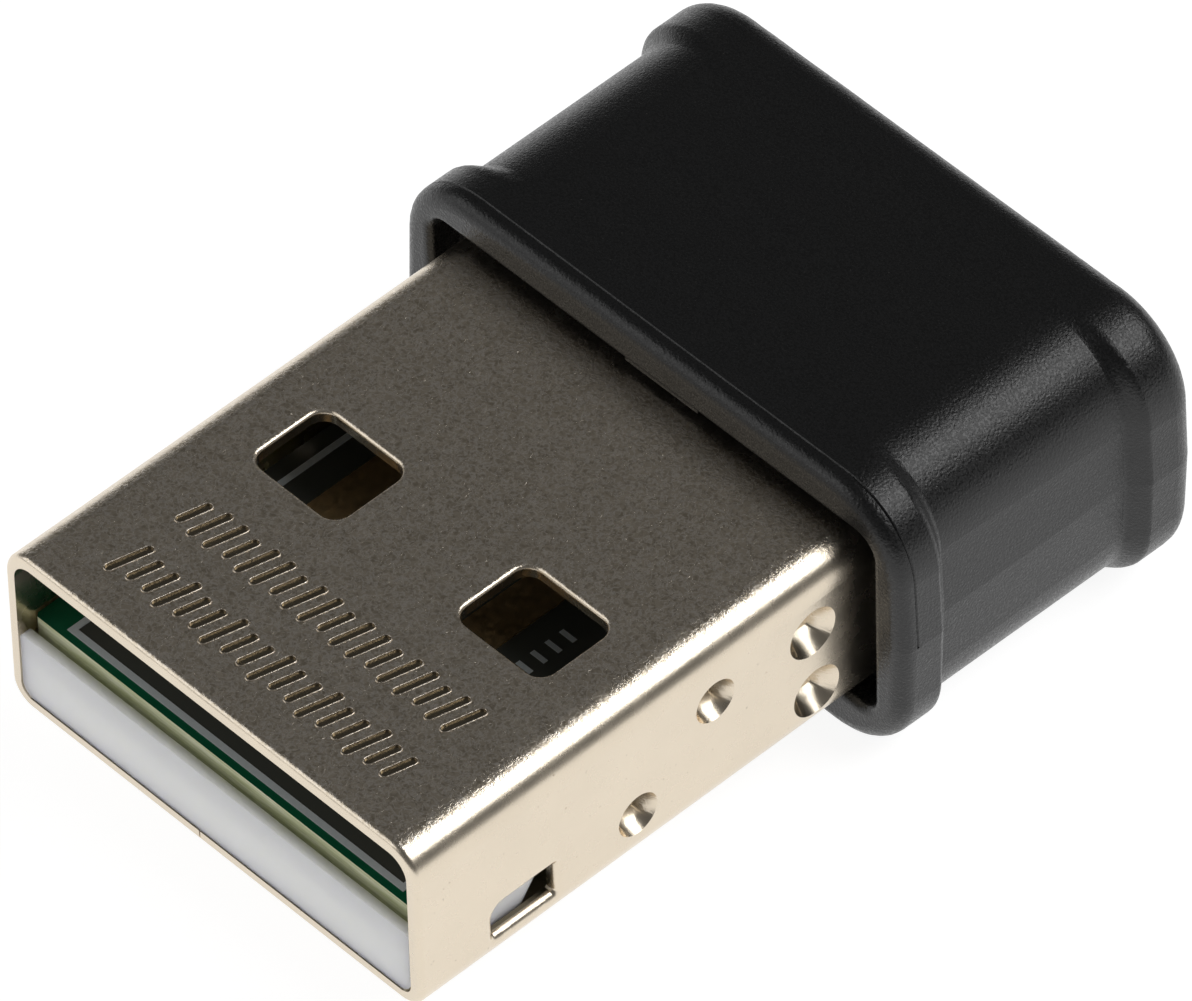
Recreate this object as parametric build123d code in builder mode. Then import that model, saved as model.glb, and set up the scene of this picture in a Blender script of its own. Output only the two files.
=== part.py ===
from build123d import *
from math import cos, pi, radians, tan
import os

os.makedirs("parts", exist_ok=True)

# USB Wi-Fi adapter of the nano kind, lying on its underside. Millimetres. +Z is up, the plug points to -Y,
# X runs across the plug, and the origin is under the middle of the whole adapter, on the resting plane.

# Driving dimensions
TOTAL_LENGTH = 20.2
PLUG_WIDTH = 12.0  # standard Type-A plug shell
PLUG_HEIGHT = 4.5
PLUG_LENGTH = 12.0  # free length in front of the housing
PLUG_AXIS_Z = 3.65  # height of the plug's middle above the resting plane
SHEET = 0.3
PLUG_CORNER = 0.8
LOWER_CORNER = 0.6  # the two lower bends are tighter
GAP = 0.03  # play between pieces that nest
TIP_Y = -TOTAL_LENGTH / 2
REAR_Y = TOTAL_LENGTH / 2
FACE_Y = TIP_Y + PLUG_LENGTH

# Plug shell
INNER_HALF = PLUG_WIDTH / 2 - SHEET
INNER_FLOOR = SHEET - PLUG_HEIGHT / 2
SHELL_REAR_Y = FACE_Y + 2.0
TAB_LENGTH = 1.3
TAB_HEIGHT = 1.9
RIM_ROUND = 0.14
WINDOW_WIDTH = 2.5
WINDOW_LENGTH = 2.05
WINDOW_ROUND = 0.38
WINDOW_X = 2.97
WINDOW_Y = TIP_Y + 6.06
SLOT_FRONT = TIP_Y + 2.0
SLOT_REAR = TIP_Y + 3.68
SLOT_TOP = -0.72
SLOT_BOTTOM = -1.56
SLOT_ROUND = 0.3  # upper front corner
SLOT_TIGHT = 0.06  # the other corners
SLOT_ROLL = 0.2  # rounding of the slot's outer edge
SEAM = 0.03
SEAM_X = -0.45
EDGE_ROLL = 0.1  # rounding that the punch leaves round the windows and slots
DENT_DEPTH = 0.45
DENT_FLOOR = 0.5
# Stamped tally marks on top: two rows of slanted strokes
MARK_ROWS = (1.5, 3.25)  # distance of each row's middle behind the tip
MARK_FIRST_X = -3.9
MARK_PITCH = 0.46
MARKS_PER_ROW = 18
MARK_WIDTH = 0.17
MARK_DEPTH = 0.04
MARK_LENGTHS = (1.08, 0.8, 1.0)
MARK_SLANT = 14
# place along the plug from its tip, height over the plug's middle, and width of each side dent
DENTS = [(5.92, -0.98, 1.05), (8.08, 0.69, 1.05), (10.76, 0.62, 1.25), (10.84, -1.15, 1.25)]

# Circuit board, with the contacts of the plug on its front end
BOARD_TOP = 0.05
BOARD_THICKNESS = 0.8
BOARD_BOTTOM = BOARD_TOP - BOARD_THICKNESS
BOARD_FRONT_Y = TIP_Y + 0.43
BOARD_REAR_Y = REAR_Y - 1.2
EAR_HALF = 5.66
EAR_END_Y = TIP_Y + 1.7
TONGUE_HALF = 5.3
NECK_HALF = 5.65
NECK_Y = TIP_Y + 12.3
WIDE_HALF = 6.1
WIDE_Y = SHELL_REAR_Y + TAB_LENGTH + 0.3
CONTACT_WIDTH = 1.0
CONTACT_PLATE = 0.05
CONTACT_REAR_Y = TIP_Y + 8.6

# Housing: two collars with a waist between them, split along one parting plane
PARTING_Z = 3.55
DRAFT = 2.5
FRONT_WIDTH = 14.6
FRONT_TOP_Z = 7.2
FRONT_CORNER = 1.95
REAR_WIDTH = 14.9
REAR_TOP_Z = 7.05
REAR_CORNER = 2.1
WAIST_INSET = 0.37  # on the sides only: top and underside run straight through
FRONT_BAND = 1.05
REAR_BAND = 1.3
SLOPE = 0.44
SLOPE_STEPS = 6
LIP_ROUND = 0.38
LIP_LENGTH = 0.42
MOUTH_ROUND = 0.2
LIP_GROOVE = 0.03  # fine mould line round the top shell, behind the lip
REAR_ROUND = 0.6
BAND_Y = FACE_Y + LIP_LENGTH + LIP_GROOVE
MOUTH_HALF = 6.4
MOUTH_TOP = 2.56
MOUTH_BOTTOM = -2.5
MOUTH_CORNER = 0.5
MOUTH_DEPTH = 0.8
GRIP_DEPTH = 1.0
CAVITY_HALF = 6.2
CAVITY_TOP = 2.4
CAVITY_BOTTOM = -2.5
CAVITY_CORNER = 0.9
REAR_WALL = 0.9
RIM_LIP = 0.3
RIM_LIP_HEIGHT = 0.45
CAVITY_FRONT_Y = FACE_Y + MOUTH_DEPTH + GRIP_DEPTH
CAVITY_REAR_Y = REAR_Y - REAR_WALL
POST_X = 5.3
POST_Y = REAR_Y - 2.3
POST_RADIUS = 0.45


def across(y, height=0.0):
    """Plane across the plug at y. Its own x is the width and its own y is up from the plug's middle."""
    return Plane(origin=(0, y, PLUG_AXIS_Z + height), x_dir=(1, 0, 0), z_dir=(0, -1, 0))


def level(height):
    """Level plane at a height over the plug's middle."""
    return Plane.XY.offset(PLUG_AXIS_Z + height)


def side_plane(side, x, y, height):
    """Plane facing outward on the left (-1) or right (+1) of the plug."""
    return Plane(origin=(side * x, y, PLUG_AXIS_Z + height), x_dir=(0, side, 0), z_dir=(side, 0, 0))


def plug_outline(growth):
    """Section of the plug shell's outside, grown evenly all round."""
    with BuildSketch() as outline:
        Rectangle(PLUG_WIDTH + 2 * growth, PLUG_HEIGHT + 2 * growth)
        fillet(vertices().group_by(Axis.Y)[-1], PLUG_CORNER + growth)
        fillet(vertices().group_by(Axis.Y)[0], LOWER_CORNER + growth)
    return outline.sketch


def block(x, y, low, high, width, length, mode=Mode.ADD):
    """Block centred on x, y between two heights over the plug's middle."""
    with Locations((x, y, PLUG_AXIS_Z + (low + high) / 2)):
        Box(width, length, high - low, mode=mode)


def write(builder, node):
    """Label a finished piece and write it."""
    builder.part.label = node
    export_step(builder.part, f"parts/{node}.step")


# ---- Plug shell: folded sheet with a seam underneath ------------------------------------------------------
def seam_points():
    """Seam down the middle of the underside, stepping round two dovetail locks."""
    half = 0.9
    neck = 0.6
    reach = 1.1
    points = [(0, TIP_Y - 1)]
    for middle in (TIP_Y + 3.2, TIP_Y + 9.4):
        points += [(0, middle - neck), (reach, middle - half), (reach, middle + half), (0, middle + neck)]
    points += [(0, SHELL_REAR_Y + TAB_LENGTH + 1)]
    return [(SEAM_X + x, y) for x, y in points]


with BuildPart() as plug_shell:
    tube_length = PLUG_LENGTH + SHELL_REAR_Y - FACE_Y + TAB_LENGTH
    with BuildSketch(across(TIP_Y + tube_length)):
        add(plug_outline(0))
        add(plug_outline(-SHEET), mode=Mode.SUBTRACT)
    extrude(amount=tube_length)
    fillet(plug_shell.faces().sort_by(Axis.Y)[0].outer_wire().edges(), RIM_ROUND)
    # Behind the shell's rear edge only a solder tab is left on each side.
    with BuildSketch(side_plane(1, 0, SHELL_REAR_Y + TAB_LENGTH, 0)):
        Rectangle(2 * TAB_LENGTH, 2 * PLUG_HEIGHT)
        Rectangle(2 * TAB_LENGTH, TAB_HEIGHT, mode=Mode.SUBTRACT)
    extrude(amount=PLUG_WIDTH, both=True, mode=Mode.SUBTRACT)
    # Two windows above and the same two below, for the springs of the port.
    with BuildSketch(level(0)):
        with Locations((-WINDOW_X, WINDOW_Y), (WINDOW_X, WINDOW_Y)):
            RectangleRounded(WINDOW_WIDTH, WINDOW_LENGTH, WINDOW_ROUND)
    extrude(amount=PLUG_HEIGHT, both=True, mode=Mode.SUBTRACT)
    for face in (plug_shell.faces().sort_by(Axis.Z)[-1], plug_shell.faces().sort_by(Axis.Z)[0]):
        fillet([edge for wire in face.inner_wires() for edge in wire.edges()], EDGE_ROLL)
    # A latch slot low on each side, whose rolled edge reaches into the lower bend.
    with BuildSketch(side_plane(1, 0, (SLOT_FRONT + SLOT_REAR) / 2, (SLOT_TOP + SLOT_BOTTOM) / 2)):
        Rectangle(SLOT_REAR - SLOT_FRONT, SLOT_TOP - SLOT_BOTTOM)
        fillet(vertices().group_by(Axis.X)[-1], SLOT_TIGHT)
        fillet(vertices().group_by(Axis.X)[0].sort_by(Axis.Y)[0], SLOT_TIGHT)
        fillet(vertices().group_by(Axis.X)[0].sort_by(Axis.Y)[-1], SLOT_ROUND)
    extrude(amount=PLUG_WIDTH, both=True, mode=Mode.SUBTRACT)
    slot_edges = edges().filter_by_position(Axis.Y, SLOT_FRONT - GAP, SLOT_REAR + GAP)
    fillet([edge for edge in slot_edges if abs(edge.center().X) > PLUG_WIDTH / 2 - 0.02], SLOT_ROLL)
    # Side dents: a bump inside, and outside a round pocket that narrows to the punch's square end.
    for along, height, width in DENTS:
        for side in (-1, 1):
            with BuildSketch(side_plane(side, INNER_HALF + SHEET / 2, TIP_Y + along, height)):
                Circle(width / 2 + 0.15)
            with BuildSketch(side_plane(side, INNER_HALF - 0.38, TIP_Y + along, height)):
                Circle(width / 2 - 0.12)
            loft()
            with BuildSketch(side_plane(side, PLUG_WIDTH / 2, TIP_Y + along, height)):
                Circle(width / 2)
            with BuildSketch(side_plane(side, PLUG_WIDTH / 2 - DENT_DEPTH, TIP_Y + along, height)):
                RectangleRounded(DENT_FLOOR, DENT_FLOOR, 0.05)
            loft(mode=Mode.SUBTRACT)
    with BuildSketch(level(PLUG_HEIGHT / 2 - MARK_DEPTH)):
        for row, along in enumerate(MARK_ROWS):
            for step in range(MARKS_PER_ROW):
                length = MARK_LENGTHS[(step * step + row) % len(MARK_LENGTHS)]
                with Locations((MARK_FIRST_X + MARK_PITCH * step, TIP_Y + along)):
                    SlotOverall(length, MARK_WIDTH, rotation=90 - MARK_SLANT)
    extrude(amount=PLUG_HEIGHT, mode=Mode.SUBTRACT)
    with BuildSketch(level(-PLUG_HEIGHT)):
        with BuildLine():
            Polyline(*seam_points())
        trace(line_width=SEAM)
    extrude(amount=PLUG_HEIGHT / 2 + 2 * SHEET, mode=Mode.SUBTRACT)
write(plug_shell, "plug_shell")

# ---- Plug carrier: the plastic block under the board ------------------------------------------------------
CARRIER_BOTTOM = INNER_FLOOR + 0.01  # rests on the floor of the shell
CARRIER_TOP = BOARD_BOTTOM - GAP
CARRIER_HALF = INNER_HALF - GAP
CARRIER_FRONT_Y = TIP_Y + 0.02
CARRIER_REAR_Y = TIP_Y + 11.6
CARRIER_BODY_HALF = 5.05
LATCH_END_Y = TIP_Y + 4.0
LATCH_SLANT = 0.7
LATCH_TURN = 0.35
LATCH_MARGIN = 0.06
LEDGE_DEPTH = 0.24
LEDGE_TOP = -0.18
LEDGE_CORNER = 0.12
CARRIER_CORNER = 0.36

with BuildPart() as plug_carrier:
    with BuildSketch(across(EAR_END_Y, (CARRIER_TOP + CARRIER_BOTTOM) / 2)):
        Rectangle(2 * CARRIER_HALF, CARRIER_TOP - CARRIER_BOTTOM)
        fillet(vertices().group_by(Axis.Y)[0], CARRIER_CORNER)
    extrude(amount=EAR_END_Y - CARRIER_FRONT_Y)
    # The front ledge stands up in front of the board's edge.
    with BuildSketch(across(CARRIER_FRONT_Y + LEDGE_DEPTH, (LEDGE_TOP + CARRIER_BOTTOM) / 2)):
        Rectangle(2 * CARRIER_HALF, LEDGE_TOP - CARRIER_BOTTOM)
        fillet(vertices().group_by(Axis.Y)[0], CARRIER_CORNER)
        fillet(vertices().group_by(Axis.Y)[-1], LEDGE_CORNER)
    extrude(amount=LEDGE_DEPTH)
    block(
        0, (CARRIER_FRONT_Y + 1 + CARRIER_REAR_Y) / 2, CARRIER_BOTTOM, CARRIER_TOP,
        2 * CARRIER_BODY_HALF, CARRIER_REAR_Y - CARRIER_FRONT_Y - 1,
    )  # fmt: skip
    # A latch closes the front of each slot from inside. Its rear end slants and turns inward.
    latch_front_y = EAR_END_Y + GAP
    latch_top = SLOT_TOP + LATCH_MARGIN
    latch_bottom = SLOT_BOTTOM - LATCH_MARGIN
    for side in (-1, 1):
        with BuildSketch(side_plane(1, side * CARRIER_HALF, 0, 0)):
            with BuildLine():
                Polyline(
                    (latch_front_y, latch_top),
                    (LATCH_END_Y, latch_top),
                    (LATCH_END_Y - LATCH_SLANT, latch_bottom),
                    (latch_front_y, latch_bottom),
                    close=True,
                )
            make_face()
        extrude(amount=-side * (CARRIER_HALF - CARRIER_BODY_HALF + 0.3))
    rear_edges = edges().filter_by_position(Axis.Y, LATCH_END_Y - LATCH_SLANT, LATCH_END_Y)
    fillet([edge for edge in rear_edges if abs(abs(edge.center().X) - CARRIER_HALF) < 0.001], LATCH_TURN)
    # The board lies between the latches.
    block(
        0, (latch_front_y + LATCH_END_Y) / 2, CARRIER_TOP, latch_top,
        2 * (TONGUE_HALF + GAP), LATCH_END_Y - latch_front_y + GAP, Mode.SUBTRACT,
    )  # fmt: skip
    # Pockets over the lower windows leave room for the springs of the port.
    with BuildSketch(level(CARRIER_BOTTOM)):
        with Locations((-WINDOW_X, WINDOW_Y), (WINDOW_X, WINDOW_Y)):
            RectangleRounded(WINDOW_WIDTH + 0.3, WINDOW_LENGTH + 0.3, WINDOW_ROUND)
    extrude(amount=0.8, mode=Mode.SUBTRACT)
write(plug_carrier, "plug_carrier")

# ---- Circuit board and the plug's contacts ----------------------------------------------------------------
with BuildPart() as circuit_board:
    with BuildSketch(level(BOARD_BOTTOM)):
        with BuildLine():
            right = [
                (EAR_HALF, BOARD_FRONT_Y),
                (EAR_HALF, EAR_END_Y),
                (TONGUE_HALF, EAR_END_Y),
                (TONGUE_HALF, NECK_Y),
                (NECK_HALF, NECK_Y),
                (NECK_HALF, WIDE_Y),
                (WIDE_HALF, WIDE_Y),
                (WIDE_HALF, BOARD_REAR_Y),
            ]
            left = [(-x, y) for x, y in reversed(right)]
            Polyline(*right, *left, close=True)
        make_face()
        chamfer(vertices().group_by(Axis.Y)[0], 0.08)
        fillet(vertices().group_by(Axis.Y)[-1], 0.5)
    extrude(amount=BOARD_THICKNESS)
write(circuit_board, "circuit_board")

CONTACTS = {
    "contact_vbus": (3.5, 7.4),
    "contact_data_minus": (1.0, 6.4),
    "contact_data_plus": (-1.0, 6.4),
    "contact_ground": (-3.5, 7.4),
}
for node, (x, length) in CONTACTS.items():
    with BuildPart() as contact:
        with BuildSketch(level(BOARD_TOP)):
            with Locations((x, CONTACT_REAR_Y - length / 2)):
                RectangleRounded(CONTACT_WIDTH, length, 0.12)
        extrude(amount=CONTACT_PLATE)
    write(contact, node)


# ---- Housing: top and bottom shells -----------------------------------------------------------------------
def half_outline(width, height, radius):
    """Half of a collar or waist section on the parting plane: drafted sides and two round far corners.

    height is up for the top shell and down, so negative, for the bottom one.
    """
    taper = abs(height) * tan(radians(DRAFT))
    with BuildSketch() as outline:
        with BuildLine():
            Polyline(
                (-width / 2, 0),
                (width / 2, 0),
                (width / 2 - taper, height),
                (-width / 2 + taper, height),
                close=True,
            )
        make_face()
        fillet(vertices().group_by(Axis.Y)[-1 if height > 0 else 0], radius)
    return outline.sketch


def spool_section(y, pinch, groove, upward):
    """Section of one shell at y. pinch is 0 on a collar and 1 on the waist; groove is a depth all round."""
    along = (y - BAND_Y) / (REAR_Y - REAR_ROUND - BAND_Y)
    width = FRONT_WIDTH + (REAR_WIDTH - FRONT_WIDTH) * along - 2 * (WAIST_INSET * pinch + groove)
    top_z = FRONT_TOP_Z + (REAR_TOP_Z - FRONT_TOP_Z) * along - groove
    corner = FRONT_CORNER + (REAR_CORNER - FRONT_CORNER) * along - groove
    with BuildSketch(across(y, PARTING_Z - PLUG_AXIS_Z)) as section:
        add(half_outline(width, top_z - PARTING_Z if upward else -PARTING_Z, corner))
    return section.sketch


def spool_half(upward):
    """Outside of one shell. The collars stand out from the waist on the sides only, in soft curves."""
    lip_y = FACE_Y + LIP_LENGTH
    waist_y = FACE_Y + FRONT_BAND + SLOPE
    rear_band_y = REAR_Y - REAR_BAND
    groove = LIP_GROOVE if upward else 0
    # start and end of each stretch, pinch at both, and groove depth at both
    stretches = [
        (FACE_Y, lip_y - LIP_GROOVE, 0, 0, 0, 0),
        (lip_y - LIP_GROOVE, lip_y, 0, 0, 0, groove),
        (lip_y, BAND_Y, 0, 0, groove, 0),
        (BAND_Y, waist_y - SLOPE, 0, 0, 0, 0),
        (waist_y - SLOPE, waist_y, 0, 1, 0, 0),
        (waist_y, rear_band_y - SLOPE, 1, 1, 0, 0),
        (rear_band_y - SLOPE, rear_band_y, 1, 0, 0, 0),
        (rear_band_y, REAR_Y, 0, 0, 0, 0),
    ]
    with BuildPart() as half:
        for start, end, pinch, last_pinch, cut, last_cut in stretches:
            straight = pinch == last_pinch
            count = 1 if straight else SLOPE_STEPS
            sections = []
            for number in range(count + 1):
                share = number / count
                ease = (1 - cos(pi * share)) / 2
                sections.append(
                    spool_section(
                        start + (end - start) * share,
                        pinch + (last_pinch - pinch) * ease,
                        cut + (last_cut - cut) * share,
                        upward,
                    )
                )
            loft(sections=sections, ruled=straight)
        for y, radius in ((FACE_Y, LIP_ROUND), (REAR_Y, REAR_ROUND)):
            ring = edges().filter_by_position(Axis.Y, y - 0.001, y + 0.001)
            fillet([edge for edge in ring if abs(edge.center().Z - PARTING_Z) > 0.01], radius)
    return half.part


def hollow():
    """The mouth, the close-fitting grip behind it, and the cavity round the board, as one solid."""
    with BuildPart() as inside:
        with BuildSketch(across(FACE_Y + MOUTH_DEPTH, (MOUTH_TOP + MOUTH_BOTTOM) / 2)):
            RectangleRounded(2 * MOUTH_HALF, MOUTH_TOP - MOUTH_BOTTOM, MOUTH_CORNER)
        extrude(amount=MOUTH_DEPTH + 1)
        with BuildSketch(across(CAVITY_FRONT_Y)):
            add(plug_outline(GAP))
        extrude(amount=GRIP_DEPTH)
        with BuildSketch(across(CAVITY_REAR_Y, (CAVITY_TOP + CAVITY_BOTTOM) / 2)):
            RectangleRounded(2 * CAVITY_HALF, CAVITY_TOP - CAVITY_BOTTOM, CAVITY_CORNER)
        extrude(amount=CAVITY_REAR_Y - CAVITY_FRONT_Y)
    return inside.part


def round_mouth():
    """Rounds the mouth's front edge on the shell being built."""
    reach = max(MOUTH_TOP, -MOUTH_BOTTOM) + 0.01
    ring = edges().filter_by_position(Axis.Y, FACE_Y - 0.001, FACE_Y + 0.001)
    ring = ring.filter_by_position(Axis.X, -MOUTH_HALF - 0.01, MOUTH_HALF + 0.01)
    ring = ring.filter_by_position(Axis.Z, PLUG_AXIS_Z - reach, PLUG_AXIS_Z + reach)
    fillet([edge for edge in ring if abs(edge.center().Z - PARTING_Z) > 0.01], MOUTH_ROUND)


def rim_track(play):
    """Track of the lip along the sides and rear of the cavity, widened by the play of the groove."""
    length = CAVITY_REAR_Y - CAVITY_FRONT_Y
    reach = RIM_LIP + play
    with Locations((0, CAVITY_FRONT_Y + (length + reach) / 2 + 0.1)):
        Rectangle(2 * (CAVITY_HALF + reach), length + reach - 0.2)
    with Locations((0, CAVITY_FRONT_Y + length / 2)):
        Rectangle(2 * CAVITY_HALF, length, mode=Mode.SUBTRACT)


def post_pair():
    """Places of the two posts that hold the rear of the board."""
    return Locations((-POST_X, POST_Y), (POST_X, POST_Y))


with BuildPart() as housing_top:
    add(spool_half(True))
    add(hollow(), mode=Mode.SUBTRACT)
    round_mouth()
    with BuildSketch(Plane.XY.offset(PARTING_Z)):
        rim_track(0.05)
    extrude(amount=RIM_LIP_HEIGHT + 0.05, mode=Mode.SUBTRACT)
    with BuildSketch(level(BOARD_TOP)):
        with post_pair():
            Circle(POST_RADIUS)
    extrude(amount=CAVITY_TOP - BOARD_TOP + 0.1)
    # Stop behind the plug shell, and a small gate nub on the mouth's upper edge.
    block(0, SHELL_REAR_Y + 0.35, 1.75, CAVITY_TOP + 0.1, 6.0, 0.6)
    block(0.3, FACE_Y + 0.25, MOUTH_TOP - 0.1, MOUTH_TOP + 0.1, 2.1, 0.3)
write(housing_top, "housing_top")

with BuildPart() as housing_bottom:
    add(spool_half(False))
    add(hollow(), mode=Mode.SUBTRACT)
    round_mouth()
    with BuildSketch(Plane.XY.offset(PARTING_Z)):
        rim_track(0)
    extrude(amount=RIM_LIP_HEIGHT)
    with BuildSketch(level(CAVITY_BOTTOM - 0.1)):
        with post_pair():
            Circle(POST_RADIUS)
    extrude(amount=BOARD_BOTTOM - CAVITY_BOTTOM + 0.1)
    block(0, SHELL_REAR_Y + 0.35, CAVITY_BOTTOM - 0.1, -1.75, 6.0, 0.6)
write(housing_bottom, "housing_bottom")


# ---- Electronics on the board -----------------------------------------------------------------------------
def chip(x, y, width, length, height):
    """Flat leadless package with a pin-one dimple."""
    block(x, y, BOARD_TOP, BOARD_TOP + height, width, length)
    chamfer(faces().sort_by(Axis.Z)[-1].edges(), 0.06)
    with Locations((x - width / 2 + 0.4, y - length / 2 + 0.4, PLUG_AXIS_Z + BOARD_TOP + height)):
        Cylinder(0.15, 0.1, mode=Mode.SUBTRACT)


def small_part(length, width, height, cap):
    """Ceramic body with a slightly larger metal cap on each end, lying along its own x."""
    with BuildPart() as piece:
        with Locations((0, 0, height / 2)):
            Box(length - cap, width - 0.04, height - 0.04)
        with Locations((-(length - cap) / 2, 0, height / 2), ((length - cap) / 2, 0, height / 2)):
            Box(cap, width, height)
    return piece.part


def place_parts(part, places, underside=False):
    """Put copies of a small part on the board. A place is x, distance behind the tip, and turn in degrees."""
    height = BOARD_BOTTOM if underside else BOARD_TOP
    for x, along, turn in places:
        with Locations(Location((x, TIP_Y + along, PLUG_AXIS_Z + height), (180 if underside else 0, 0, turn))):
            add(part)


CHIP_AT = (0.0, TIP_Y + 11.6)
CHIP_SIZE = 5.0
with BuildPart() as wifi_chip:
    chip(*CHIP_AT, CHIP_SIZE, CHIP_SIZE, 0.85)
write(wifi_chip, "wifi_chip")

with BuildPart() as radio_switch:
    chip(0.0, TIP_Y + 15.95, 1.4, 1.2, 0.55)
write(radio_switch, "radio_switch")

with BuildPart() as surge_protector:
    chip(4.1, TIP_Y + 9.6, 1.6, 1.2, 0.5)
write(surge_protector, "surge_protector")

with BuildPart() as crystal:
    block(4.0, TIP_Y + 12.9, BOARD_TOP, BOARD_TOP + 0.35, 2.0, 2.5)
    block(4.0, TIP_Y + 12.9, BOARD_TOP + 0.35, BOARD_TOP + 0.6, 1.75, 2.25)
    fillet(edges().filter_by(Axis.Z), 0.15)
write(crystal, "crystal")

with BuildPart() as power_inductor:
    block(-4.0, TIP_Y + 9.9, BOARD_TOP, BOARD_TOP + 0.2, 2.0, 2.0)
    with Locations((-4.0, TIP_Y + 9.9, PLUG_AXIS_Z + BOARD_TOP + 0.5)):
        Cylinder(0.75, 0.6)
    block(-4.0, TIP_Y + 9.9, BOARD_TOP + 0.8, BOARD_TOP + 1.0, 2.0, 2.0)
write(power_inductor, "power_inductor")

REGULATOR_AT = (-4.1, TIP_Y + 12.7)
with BuildPart() as voltage_regulator:
    x, y = REGULATOR_AT
    block(x, y, BOARD_TOP + 0.1, BOARD_TOP + 1.1, 1.4, 2.6)
    chamfer(faces().sort_by(Axis.Z)[-1].edges(), 0.1)
    for side, rows in ((-1, (-0.95, 0, 0.95)), (1, (-0.95, 0.95))):
        for row in rows:
            block(x + side * 0.85, y + row, BOARD_TOP, BOARD_TOP + 0.15, 0.5, 0.4)
            block(x + side * 0.7, y + row, BOARD_TOP + 0.1, BOARD_TOP + 0.6, 0.15, 0.4)
write(voltage_regulator, "voltage_regulator")

with BuildPart() as memory_chip:
    block(-2.0, TIP_Y + 16.0, BOARD_BOTTOM - 0.75, BOARD_BOTTOM - 0.05, 3.0, 1.7)
    for row in (-0.975, -0.325, 0.325, 0.975):
        for end in (-1, 1):
            block(-2.0 + row, TIP_Y + 16.0 + end * 0.95, BOARD_BOTTOM - 0.25, BOARD_BOTTOM, 0.25, 0.4)
write(memory_chip, "memory_chip")

with BuildPart() as bulk_capacitors:
    place_parts(small_part(2.0, 1.25, 1.0, 0.4), [(1.7, 15.9, 0), (4.4, 15.9, 0)], underside=True)
write(bulk_capacitors, "bulk_capacitors")

with BuildPart() as decoupling_capacitors:
    beside_chip = [(2.9, along, 90) for along in (9.6, 10.9)]
    behind_chip = [(-1.6 + 0.8 * step, 14.75, 90) for step in range(5)]
    place_parts(small_part(1.0, 0.5, 0.5, 0.25), beside_chip + behind_chip)
write(decoupling_capacitors, "decoupling_capacitors")

with BuildPart() as resistors:
    places = [(-2.6, 14.75, 90), (2.6, 14.75, 90), (-3.4, 14.75, 90), (3.4, 14.75, 90)]
    place_parts(small_part(1.0, 0.5, 0.35, 0.25), places)
write(resistors, "resistors")

with BuildPart() as antenna_matching:
    places = [(side * x, 15.95, 90) for side in (-1, 1) for x in (1.4, 2.1)]
    place_parts(small_part(1.0, 0.5, 0.4, 0.25), places)
write(antenna_matching, "antenna_matching")

ANTENNA_LINE = 0.3
ANTENNA_FRONT = TIP_Y + 16.8
ANTENNA_DEPTH = 1.8


def antenna_points(side):
    """Middle line of the printed copper: a feed line and a square wave along the rear edge of the board."""
    pitch = 0.6
    points = [(side * 0.6, ANTENNA_FRONT)]
    for turn in range(6):
        x = side * (0.6 + pitch * turn)
        far = ANTENNA_FRONT + ANTENNA_DEPTH
        ends = (far, ANTENNA_FRONT + 0.5) if turn % 2 else (ANTENNA_FRONT + 0.5, far)
        points += [(x, ends[0]), (x, ends[1])]
    return points[:1] + points[2:]


for node, side in (("antenna_left", -1), ("antenna_right", 1)):
    with BuildPart() as antenna:
        with BuildSketch(level(BOARD_TOP)):
            with BuildLine():
                Polyline(*antenna_points(side))
            trace(line_width=ANTENNA_LINE)
        extrude(amount=CONTACT_PLATE)
    write(antenna, node)

# Solder fillets between the board and the tabs of the plug shell
with BuildPart() as shell_solder:
    for side in (-1, 1):
        with BuildSketch(across(SHELL_REAR_Y + TAB_LENGTH - 0.15)):
            with BuildLine():
                Polyline(
                    (side * (NECK_HALF - 0.6), BOARD_TOP),
                    (side * INNER_HALF, BOARD_TOP),
                    (side * INNER_HALF, BOARD_TOP + 0.6),
                    close=True,
                )
            make_face()
        extrude(amount=TAB_LENGTH - 0.35)
write(shell_solder, "shell_solder")
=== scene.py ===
"""Looks of a nano USB Wi-Fi adapter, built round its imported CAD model. Blender 4.5, metres."""
import math

import bmesh
import bpy
from mathutils import Matrix, Vector


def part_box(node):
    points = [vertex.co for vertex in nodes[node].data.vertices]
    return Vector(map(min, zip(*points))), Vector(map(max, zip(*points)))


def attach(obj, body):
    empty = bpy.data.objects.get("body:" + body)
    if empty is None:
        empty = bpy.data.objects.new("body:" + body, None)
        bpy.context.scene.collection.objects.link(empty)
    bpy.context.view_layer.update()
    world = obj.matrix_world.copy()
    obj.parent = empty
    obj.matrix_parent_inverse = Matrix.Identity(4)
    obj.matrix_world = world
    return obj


MM = 0.001

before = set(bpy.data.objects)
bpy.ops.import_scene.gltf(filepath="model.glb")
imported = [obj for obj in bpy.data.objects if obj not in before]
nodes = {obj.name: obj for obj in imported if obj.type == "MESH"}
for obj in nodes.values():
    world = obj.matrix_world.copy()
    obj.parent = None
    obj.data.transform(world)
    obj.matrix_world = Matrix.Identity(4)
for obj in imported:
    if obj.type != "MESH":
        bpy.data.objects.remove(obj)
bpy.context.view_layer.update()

SHELL_LOW, SHELL_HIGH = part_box("plug_shell")
BOARD_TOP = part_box("circuit_board")[1].z
PLUG_AXIS_Z = (SHELL_LOW.z + SHELL_HIGH.z) / 2
TIP_Y = SHELL_LOW.y
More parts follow.
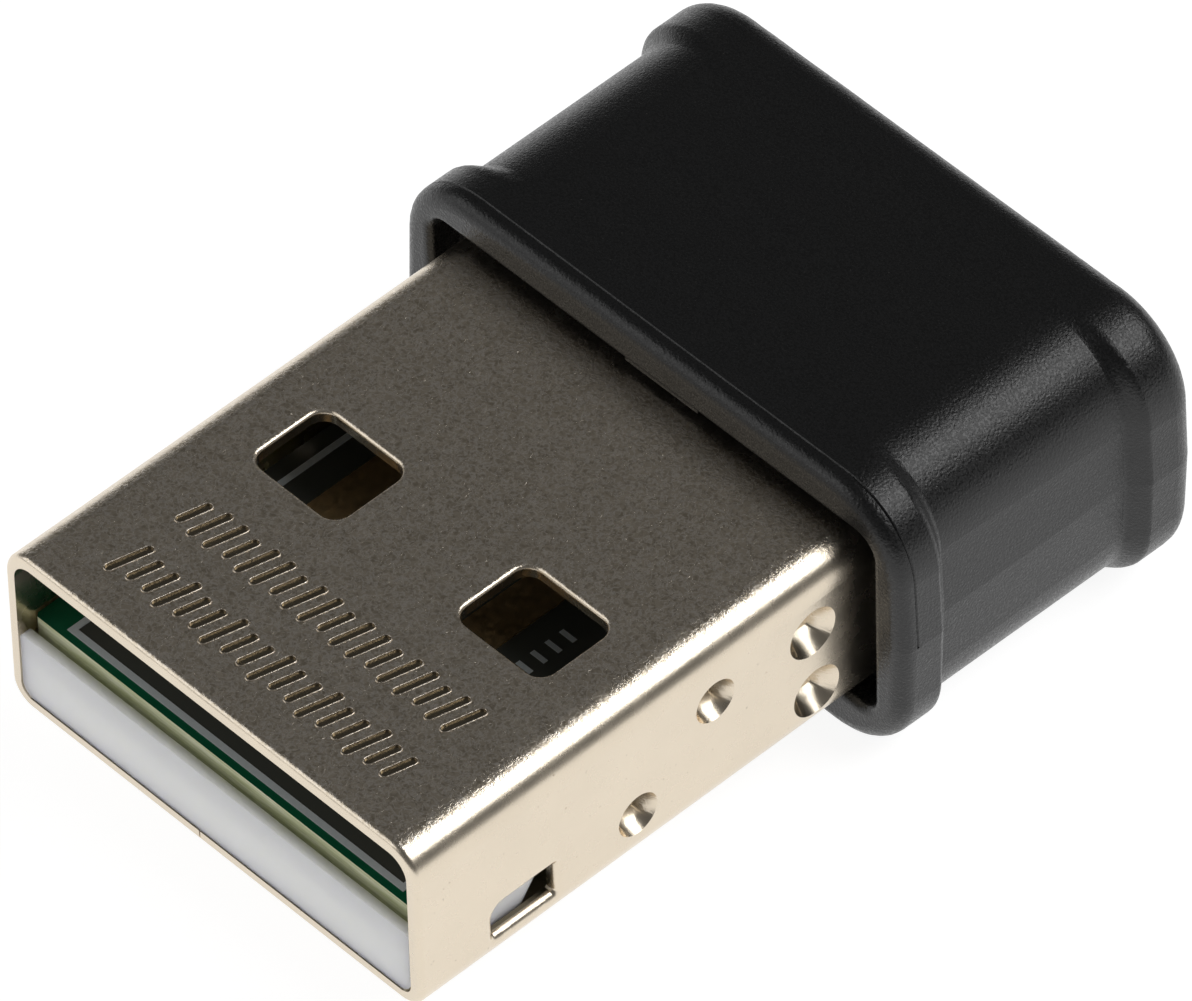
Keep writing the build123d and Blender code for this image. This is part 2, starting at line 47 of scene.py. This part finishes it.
# The white ink on the board: a frame round the contacts, and two groups of plain ticks
PRINT_HALF = 4.82 * MM
PRINT_FRONT = TIP_Y + 0.69 * MM
PRINT_REAR = PRINT_FRONT + 7.6 * MM
PRINT_LINE = 0.16 * MM
PRINT_DEPTH = 0.012 * MM
TICK_X = 2.25 * MM
TICK_FIRST_Y = TIP_Y + 6.4 * MM
TICK_PITCH = 0.4 * MM
TICKS_PER_GROUP = 4
TICK_HALF = 0.2 * MM
TICK_WIDTH = 0.12 * MM
DARK_FIELD_Y = TIP_Y + 2.5 * MM  # behind here the board is dark over its full width
# The stamped tally marks on top of the plug: two rows of slanted strokes
MARK_ROWS = (1.5 * MM, 3.25 * MM)
MARK_FIRST_X = -3.9 * MM
MARK_PITCH = 0.46 * MM
MARKS_PER_ROW = 18
MARK_WIDTH = 0.17 * MM
MARK_LENGTHS = (1.08 * MM, 0.8 * MM, 1.0 * MM)
MARK_SLANT = 14
MARK_SHALLOW = 0.004 * MM  # the marks' floors darken between these two depths
MARK_DEEP = 0.03 * MM
BURR_WIDTH = 0.045 * MM
BURR_HEIGHT = 0.014 * MM
BURR_PROFILE = ((0, 0), (0.35, 1), (0.65, 1), (1, 0))  # shares of the width and the height
# The lights stand this far off, and the floor lies just under the housing's flat underside
SOFTBOX_DISTANCE = 0.6
FLOOR_REACH = 2
FLOOR_GAP = 0.01 * MM


# ---- Camera -----------------------------------------------------------------------------------------------
def place_camera():
    """A long lens above the right front corner, as in a product shot."""
    azimuth = math.radians(47.64)
    elevation = math.radians(47.13)
    roll = math.radians(-1.72)
    distance = 324.4 * MM
    middle = 10 * MM  # from the plug's tip
    shift_right = 0.370 * MM
    shift_up = 0.323 * MM
    back = Vector(
        (
            math.sin(azimuth) * math.cos(elevation),
            -math.cos(azimuth) * math.cos(elevation),
            math.sin(elevation),
        )
    )
    level_right = Vector((math.cos(azimuth), math.sin(azimuth), 0))
    level_up = back.cross(level_right)
    right = math.cos(roll) * level_right + math.sin(roll) * level_up
    up = -math.sin(roll) * level_right + math.cos(roll) * level_up
    target = Vector((0, TIP_Y + middle, PLUG_AXIS_Z))
    place = target + back * distance + right * shift_right + up * shift_up
    data = bpy.data.cameras.new("camera")
    data.sensor_fit = "HORIZONTAL"
    data.sensor_width = 36
    data.lens = 488.5
    data.clip_start = 0.01
    data.clip_end = 10
    camera = bpy.data.objects.new("camera", data)
    turn = Matrix((right, up, back)).transposed().to_4x4()
    camera.matrix_world = Matrix.Translation(place) @ turn
    bpy.context.scene.collection.objects.link(camera)
    bpy.context.scene.camera = camera


# ---- Studio -----------------------------------------------------------------------------------------------
def direction(azimuth, elevation):
    """Unit vector towards a compass direction, 0 along +Y and 90 along +X, and an elevation in degrees."""
    turn = math.radians(azimuth)
    rise = math.radians(elevation)
    return Vector((math.sin(turn) * math.cos(rise), math.cos(turn) * math.cos(rise), math.sin(rise)))


def softbox(name, azimuth, elevation, size, radiance):
    """Rectangular area light aimed at the object. Its power follows from the radiance that it shows."""
    data = bpy.data.lights.new(name, "AREA")
    data.shape = "RECTANGLE"
    data.size, data.size_y = size
    data.energy = radiance * math.pi * size[0] * size[1]
    light = bpy.data.objects.new(name, data)
    place = direction(azimuth, elevation) * SOFTBOX_DISTANCE
    turn = place.to_track_quat("Z", "Y").to_matrix().to_4x4()
    light.matrix_world = Matrix.Translation(place) @ turn
    bpy.context.scene.collection.objects.link(light)


def studio_world():
    """A dim room above the light table. The camera itself sees a plain pale backdrop."""
    world = bpy.data.worlds.new("studio")
    bpy.context.scene.world = world
    world.use_nodes = True
    tree = world.node_tree
    place = tree.nodes.new("ShaderNodeTexCoord")
    split = tree.nodes.new("ShaderNodeSeparateXYZ")
    ramp = tree.nodes.new("ShaderNodeValToRGB")
    tree.links.new(place.outputs["Generated"], split.inputs[0])
    tree.links.new(split.outputs["Z"], ramp.inputs["Fac"])
    stops = [(0.0, 0.6), (0.1, 0.3), (0.25, 0.13), (0.6, 0.105), (1.0, 0.12)]  # height, brightness
    elements = ramp.color_ramp.elements
    while len(elements) < len(stops):
        elements.new(0.5)
    for element, (position, value) in zip(elements, stops):
        element.position = position
        element.color = (value, value, value, 1)
    path = tree.nodes.new("ShaderNodeLightPath")
    backdrop = tree.nodes.new("ShaderNodeMix")
    backdrop.data_type = "RGBA"
    backdrop.inputs[7].default_value = (1, 1, 1, 1)
    tree.links.new(path.outputs["Is Camera Ray"], backdrop.inputs[0])
    tree.links.new(ramp.outputs["Color"], backdrop.inputs[6])
    tree.links.new(backdrop.outputs[2], tree.nodes["Background"].inputs["Color"])


def light_table():
    """Plain pale floor that glows a little from below, as a photographer's light table does."""
    mesh = bpy.data.meshes.new("floor")
    signs = ((-1, -1), (1, -1), (1, 1), (-1, 1))
    corners = [(x * FLOOR_REACH, y * FLOOR_REACH, -FLOOR_GAP) for x, y in signs]
    mesh.from_pydata(corners, [], [range(4)])
    floor = bpy.data.objects.new("floor", mesh)
    bpy.context.scene.collection.objects.link(floor)
    surface = Surface("floor", {"Base Color": (0.35, 0.35, 0.35, 1), "Roughness": 0.9})
    surface.shader.inputs["Emission Color"].default_value = (1, 1, 1, 1)
    surface.shader.inputs["Emission Strength"].default_value = 0.9
    mesh.materials.append(surface.material)


# ---- Material building blocks -----------------------------------------------------------------------------
class Surface:
    """One Principled material, built node by node. Texture sizes are in metres, in object space."""

    def __init__(self, name, sockets):
        self.material = bpy.data.materials.new(name)
        self.material.use_nodes = True
        self.tree = self.material.node_tree
        self.shader = self.tree.nodes["Principled BSDF"]
        self.place = self.add("ShaderNodeTexCoord", {}).outputs["Object"]
        for socket, value in sockets.items():
            self.shader.inputs[socket].default_value = value

    def add(self, kind, inputs, **settings):
        """New node with its settings, and with its inputs linked or given a value."""
        node = self.tree.nodes.new(kind)
        for name, value in settings.items():
            setattr(node, name, value)
        for name, value in inputs.items():
            self.feed(node.inputs[name], value)
        return node

    def feed(self, socket, value):
        """Links a socket to another node's output, or gives it a plain value."""
        if isinstance(value, bpy.types.NodeSocket):
            self.tree.links.new(value, socket)
        else:
            socket.default_value = value

    def stretched(self, factors):
        """Object coordinates scaled apart along X, Y and Z."""
        return self.add("ShaderNodeVectorMath", {0: self.place, 1: factors}, operation="MULTIPLY").outputs[0]

    def noise(self, size, detail=2.0, distortion=0.0, place=None):
        """Noise from about 0 to 1 with features of about this size."""
        where = place or self.place
        inputs = {"Vector": where, "Scale": 1 / size, "Detail": detail, "Distortion": distortion}
        return self.add("ShaderNodeTexNoise", inputs).outputs[0]

    def bands(self, axis):
        """Even waves along X or Y, as of a weave."""
        inputs = {"Vector": self.place, "Scale": 0.2 / MM}
        return self.add("ShaderNodeTexWave", inputs, bands_direction=axis).outputs[0]

    def span(self, value, low, high, start=0.0, end=1.0):
        """A value from low to high becomes start to end, and stays there outside."""
        inputs = {"Value": value, "From Min": low, "From Max": high, "To Min": start, "To Max": end}
        return self.add("ShaderNodeMapRange", inputs).outputs[0]

    def calc(self, operation, first, second=0.0):
        """One sum, product or other Math step."""
        return self.add("ShaderNodeMath", {0: first, 1: second}, operation=operation).outputs[0]

    def blend(self, factor, first, second):
        """Colour mix."""
        inputs = {0: factor, 6: first, 7: second}
        return self.add("ShaderNodeMix", inputs, data_type="RGBA").outputs[2]

    def facing(self, axis):
        """The surface normal's share along X, Y or Z."""
        normal = self.add("ShaderNodeNewGeometry", {}).outputs["Normal"]
        return self.add("ShaderNodeSeparateXYZ", {0: normal}).outputs[axis]

    def height_at(self, axis):
        """Object coordinate along X, Y or Z."""
        return self.add("ShaderNodeSeparateXYZ", {0: self.place}).outputs[axis]

    def colour(self, value):
        """Sets the surface's colour."""
        self.feed(self.shader.inputs["Base Color"], value)

    def rough(self, value):
        """Sets the surface's roughness."""
        self.feed(self.shader.inputs["Roughness"], value)

    def bump(self, *layers):
        """Stacked bumps. Each layer is a height from 0 to 1 and the depth in metres that it stands for."""
        normal = None
        for height, depth in layers:
            inputs = {"Height": height, "Distance": depth, "Strength": 1.0}
            if normal:
                inputs["Normal"] = normal
            normal = self.add("ShaderNodeBump", inputs).outputs[0]
        self.feed(self.shader.inputs["Normal"], normal)


# ---- Materials --------------------------------------------------------------------------------------------
def nickel_plate(name="nickel_shell", dull=(0.68, 0.595, 0.475), bright=(0.75, 0.66, 0.53)):
    """Nickel-plated sheet: a dense grain of fine curled ridges above and below, and satin on the sides. The
    ridges are also painted lighter: a painted highlight.
    """
    painted_curl_highlight = (0.97, 0.9, 0.81, 1)
    pit_tone = (0.5, 0.43, 0.33, 1)
    stain_tone = (0.42, 0.33, 0.24, 1)
    mark_tone = (0.2, 0.17, 0.12, 1)
    look = Surface(name, {"Metallic": 1.0})
    off_axis = look.calc("ABSOLUTE", look.calc("SUBTRACT", look.height_at("Z"), PLUG_AXIS_Z))
    upright = look.calc("ABSOLUTE", look.facing("Z"))
    broad = look.calc("MULTIPLY", look.span(off_axis, 1.95 * MM, 2.22 * MM), look.span(upright, 0.5, 0.95))
    grain = look.noise(0.12 * MM, detail=2, distortion=0.8)
    off_line = look.calc("ABSOLUTE", look.calc("SUBTRACT", grain, 0.5))
    curls = look.calc("MULTIPLY", look.span(off_line, 0.0, 0.07, 1.0, 0.0), broad)
    plain = look.blend(look.noise(1.6 * MM, detail=3), (*dull, 1), (*bright, 1))
    pits = look.calc("MULTIPLY", look.span(look.noise(0.09 * MM, detail=1), 0.45, 0.7), broad)
    pitted = look.blend(pits, plain, pit_tone)
    # The curled ridges are painted a light cream: a painted highlight on the grain.
    curled = look.blend(look.calc("MULTIPLY", curls, 0.75), pitted, painted_curl_highlight)
    stain = look.calc("MULTIPLY", look.span(look.noise(0.11 * MM, detail=1), 0.76, 0.8), 0.5)
    stained = look.blend(stain, curled, stain_tone)
    # The floors of the stamped marks are darker.
    deep = look.span(look.height_at("Z"), SHELL_HIGH.z - MARK_SHALLOW, SHELL_HIGH.z - MARK_DEEP)
    mark_floor = look.calc("MULTIPLY", deep, look.span(upright, 0.98, 0.99))
    look.colour(look.blend(mark_floor, stained, mark_tone))
    look.rough(look.span(look.noise(0.5 * MM, detail=3), 0.3, 0.7, 0.24, 0.29))
    # Cut front edges carry fine lines from shearing.
    front = look.span(look.facing("Y"), -0.5, -0.9)
    shear = look.calc("MULTIPLY", look.noise(0.05 * MM, place=look.stretched((0.1, 1, 1))), front)
    peel = look.calc("MULTIPLY", look.noise(0.07 * MM), look.span(broad, 0, 1, 0.2, 1.0))
    look.bump((curls, 0.0016 * MM), (peel, 0.005 * MM), (shear, 0.004 * MM))
    return look.material


def housing_plastic():
    """Black moulded plastic with a fine spark-eroded texture."""
    look = Surface("black_housing", {"IOR": 1.48})
    cloud = look.noise(0.8 * MM, detail=4)
    dust = look.span(look.noise(0.07 * MM, detail=1), 0.79, 0.84)
    plastic = look.blend(cloud, (0.0035, 0.0036, 0.0038, 1), (0.0065, 0.0066, 0.0068, 1))
    look.colour(look.blend(look.calc("MULTIPLY", dust, 0.3), plastic, (0.16, 0.15, 0.14, 1)))
    glint = look.span(look.noise(0.05 * MM, detail=1), 0.45, 0.66)
    look.rough(look.span(glint, 0, 1, 0.38, 0.2))
    look.bump((look.noise(0.06 * MM, detail=2), 0.012 * MM), (look.noise(0.9 * MM), 0.004 * MM))
    return look.material


def carrier_plastic():
    """Off-white moulded plastic, slightly translucent, with faint flow marks."""
    sockets = {
        "IOR": 1.5,
        "Subsurface Weight": 1.0,
        "Subsurface Scale": 1.2 * MM,
        "Subsurface Radius": (1, 1, 0.85),
    }
    look = Surface("carrier_plastic", sockets)
    flow = look.noise(0.9 * MM, detail=3, place=look.stretched((0.35, 1, 1)))
    look.colour(look.blend(flow, (0.79, 0.8, 0.77, 1), (0.86, 0.86, 0.81, 1)))
    look.rough(look.span(look.noise(0.2 * MM, detail=2), 0.3, 0.7, 0.34, 0.46))
    look.bump((look.noise(0.12 * MM, detail=2), 0.002 * MM))
    return look.material


def green_board():
    """Green solder mask over woven glass, and bare glass fibre on the cut edges."""
    dark_tone = (0.09, 0.095, 0.082, 1)
    look = Surface("green_board", {"IOR": 1.5})
    edge = look.span(look.calc("ABSOLUTE", look.facing("Z")), 0.7, 0.4)
    weave = look.calc("MULTIPLY", look.bands("X"), look.bands("Y"))
    cloud = look.noise(0.7 * MM, detail=3)
    green = look.blend(cloud, (0.004, 0.11, 0.05, 1), (0.012, 0.18, 0.08, 1))
    across = look.calc("ABSOLUTE", look.height_at("X"))
    along = look.height_at("Y")
    # The board is dark inside the printed frame, and over its full width further back.
    beside = look.calc("LESS_THAN", across, PRINT_HALF)
    behind = look.calc("GREATER_THAN", along, PRINT_FRONT)
    framed = look.calc("MULTIPLY", beside, behind)
    field = look.calc("MAXIMUM", framed, look.calc("GREATER_THAN", along, DARK_FIELD_Y))
    darkened = look.calc("MULTIPLY", field, look.calc("LESS_THAN", along, PRINT_REAR))
    mask = look.blend(darkened, green, dark_tone)
    fibre = look.noise(0.06 * MM, detail=3, place=look.stretched((0.06, 0.06, 1)))
    glass = look.blend(look.span(fibre, 0.35, 0.68), (0.6, 0.64, 0.36, 1), (0.8, 0.82, 0.6, 1))
    look.colour(look.blend(edge, mask, glass))
    look.rough(look.span(edge, 0, 1, 0.22, 0.55))
    look.bump((weave, 0.004 * MM), (fibre, 0.003 * MM))
    return look.material


def metal(name, dull, bright, roughness, grain):
    """Plain metal with a slightly uneven tone and grain."""
    look = Surface(name, {"Metallic": 1.0})
    look.colour(look.blend(look.noise(0.4 * MM, detail=3), (*dull, 1), (*bright, 1)))
    look.rough(look.span(look.noise(0.15 * MM, detail=3), 0.3, 0.7, roughness * 0.8, roughness * 1.3))
    look.bump((look.noise(grain, detail=2), grain * 0.05))
    return look.material


def moulded(name, dark, light, roughness, grain):
    """Opaque moulding or ceramic with a speckled tone and a fine grain."""
    look = Surface(name, {"IOR": 1.5})
    look.colour(look.blend(look.noise(0.1 * MM, detail=4), (*dark, 1), (*light, 1)))
    look.rough(look.span(look.noise(0.2 * MM, detail=3), 0.3, 0.7, roughness * 0.85, roughness * 1.15))
    look.bump((look.noise(grain, detail=2), grain * 0.05))
    return look.material


def dress(material, *names):
    """Gives a CAD node its material."""
    for name in names:
        node = nodes[name]
        if not node.material_slots:
            node.data.materials.append(material)
        for slot in node.material_slots:
            slot.material = material


def dress_nodes():
    """Every CAD node's finish."""
    dress(nickel_plate(), "plug_shell")
    dress(housing_plastic(), "housing_top", "housing_bottom")
    dress(carrier_plastic(), "plug_carrier")
    dress(green_board(), "circuit_board")
    gold = metal("gold_contact", (0.68, 0.48, 0.23), (0.84, 0.62, 0.34), roughness=0.5, grain=0.08 * MM)
    dress(gold, "contact_vbus", "contact_data_minus", "contact_data_plus", "contact_ground")
    chip = moulded("chip_black", (0.008, 0.008, 0.009), (0.02, 0.02, 0.021), roughness=0.5, grain=0.06 * MM)
    dress(chip, "wifi_chip", "radio_switch", "surge_protector", "voltage_regulator", "memory_chip")
    can = metal("crystal_can", (0.6, 0.58, 0.55), (0.75, 0.73, 0.7), roughness=0.3, grain=0.1 * MM)
    dress(can, "crystal")
    ferrite = moulded("ferrite", (0.03, 0.03, 0.032), (0.07, 0.068, 0.065), roughness=0.6, grain=0.05 * MM)
    dress(ferrite, "power_inductor")
    tan = moulded("tan_ceramic", (0.33, 0.2, 0.1), (0.45, 0.29, 0.16), roughness=0.45, grain=0.04 * MM)
    dress(tan, "bulk_capacitors", "decoupling_capacitors")
    pale = moulded("pale_ceramic", (0.5, 0.45, 0.36), (0.62, 0.58, 0.5), roughness=0.45, grain=0.04 * MM)
    dress(pale, "antenna_matching")
    black = moulded("resistor_black", (0.01, 0.01, 0.01), (0.03, 0.03, 0.03), roughness=0.35, grain=0.05 * MM)
    dress(black, "resistors")
    copper = metal("printed_copper", (0.55, 0.3, 0.14), (0.7, 0.42, 0.22), roughness=0.3, grain=0.06 * MM)
    dress(copper, "antenna_left", "antenna_right")
    solder = metal("solder", (0.5, 0.5, 0.5), (0.68, 0.68, 0.67), roughness=0.34, grain=0.1 * MM)
    dress(solder, "shell_solder")


# ---- Pieces -----------------------------------------------------------------------------------------------
def piece(name, mesh, material):
    """Links a mesh as a piece of the object, with its finish."""
    made = bpy.data.objects.new(name, mesh)
    mesh.materials.append(material)
    bpy.context.scene.collection.objects.link(made)
    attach(made, "root")
    return made


def strip(form, points, width, low, high):
    """Closed flat bar of even width along points, between two heights, mitred at its corners."""
    sharpest = 0.3  # keeps a mitre from running away at a sharp corner
    left = []
    right = []
    for step, point in enumerate(points):
        before = (point - points[step - 1]).normalized() if step else None
        after = (points[step + 1] - point).normalized() if step + 1 < len(points) else None
        along = ((before or after) + (after or before)).normalized()
        side = Vector((-along.y, along.x))
        run = before or after
        reach = width / 2 / max(sharpest, side.dot(Vector((-run.y, run.x))))
        left.append(point + side * reach)
        right.append(point - side * reach)
    outline = left + right[::-1]
    floor = [form.verts.new((p.x, p.y, low)) for p in outline]
    roof = [form.verts.new((p.x, p.y, high)) for p in outline]
    count = len(points)
    for step in range(count - 1):
        a, b = step, step + 1
        c, d = 2 * count - 2 - step, 2 * count - 1 - step
        form.faces.new([roof[a], roof[b], roof[c], roof[d]][::-1])
        form.faces.new([floor[a], floor[b], floor[c], floor[d]])
    for step in range(len(outline)):
        nxt = (step + 1) % len(outline)
        form.faces.new([floor[step], floor[nxt], roof[nxt], roof[step]][::-1])


def board_print():
    """White ink on the board's plug end: an outline round the contact field, and plain ticks."""
    form = bmesh.new()
    high = BOARD_TOP + PRINT_DEPTH
    path = [
        (-PRINT_HALF, PRINT_REAR),
        (-PRINT_HALF, PRINT_FRONT),
        (PRINT_HALF, PRINT_FRONT),
        (PRINT_HALF, PRINT_REAR),
    ]
    strip(form, [Vector(p) for p in path], PRINT_LINE, BOARD_TOP, high)
    for x in (-TICK_X, TICK_X):
        for step in range(TICKS_PER_GROUP):
            y = TICK_FIRST_Y + TICK_PITCH * step
            strip(form, [Vector((x - TICK_HALF, y)), Vector((x + TICK_HALF, y))], TICK_WIDTH, BOARD_TOP, high)
    bmesh.ops.recalc_face_normals(form, faces=form.faces)
    mesh = bpy.data.meshes.new("board_print")
    form.to_mesh(mesh)
    form.free()
    ink = moulded("white_ink", (0.7, 0.77, 0.79), (0.84, 0.9, 0.92), roughness=0.5, grain=0.05 * MM)
    piece("board_print", mesh, ink)


def mark_burrs():
    """Metal pushed up round each stamped tally mark: a low ridge along the edge of every stroke."""
    form = bmesh.new()
    corner_steps = 8
    for row, along in enumerate(MARK_ROWS):
        for step in range(MARKS_PER_ROW):
            half = (MARK_LENGTHS[(step * step + row) % len(MARK_LENGTHS)] - MARK_WIDTH) / 2
            lean = math.radians(90 - MARK_SLANT)
            middle = Vector((MARK_FIRST_X + MARK_PITCH * step, TIP_Y + along))
            way = Vector((math.cos(lean), math.sin(lean)))
            loops = []
            for reach, rise in BURR_PROFILE:
                radius = MARK_WIDTH / 2 + BURR_WIDTH * reach
                loop = []
                for end in (1, -1):
                    for corner in range(corner_steps + 1):
                        turn = lean + math.radians(180 * corner / corner_steps - 90 * end)
                        spot = middle + way * half * end
                        spot += Vector((math.cos(turn), math.sin(turn))) * radius
                        loop.append(form.verts.new((spot.x, spot.y, SHELL_HIGH.z + BURR_HEIGHT * rise)))
                loops.append(loop)
            for number, loop in enumerate(loops):
                other = loops[(number + 1) % len(loops)]
                for corner in range(len(loop)):
                    after = (corner + 1) % len(loop)
                    form.faces.new([loop[corner], loop[after], other[after], other[corner]])
    bmesh.ops.recalc_face_normals(form, faces=form.faces)
    mesh = bpy.data.meshes.new("mark_burrs")
    form.to_mesh(mesh)
    form.free()
    mesh.shade_smooth()
    # The burrs take a lighter copy of the nickel: a painted highlight along the ridges.
    painted_highlight_nickel = nickel_plate("painted_highlight_nickel", (0.7, 0.61, 0.5), (0.8, 0.71, 0.6))
    piece("mark_burrs", mesh, painted_highlight_nickel)


# ---- The scene --------------------------------------------------------------------------------------------
place_camera()
studio_world()
softbox("right_rear_softbox", azimuth=41, elevation=50, size=(0.42, 0.3), radiance=3.8)
softbox("left_front_softbox", azimuth=219, elevation=29, size=(0.6, 0.4), radiance=1.1)
light_table()
dress_nodes()
board_print()
mark_burrs()
bpy.context.scene.view_settings.view_transform = "Standard"
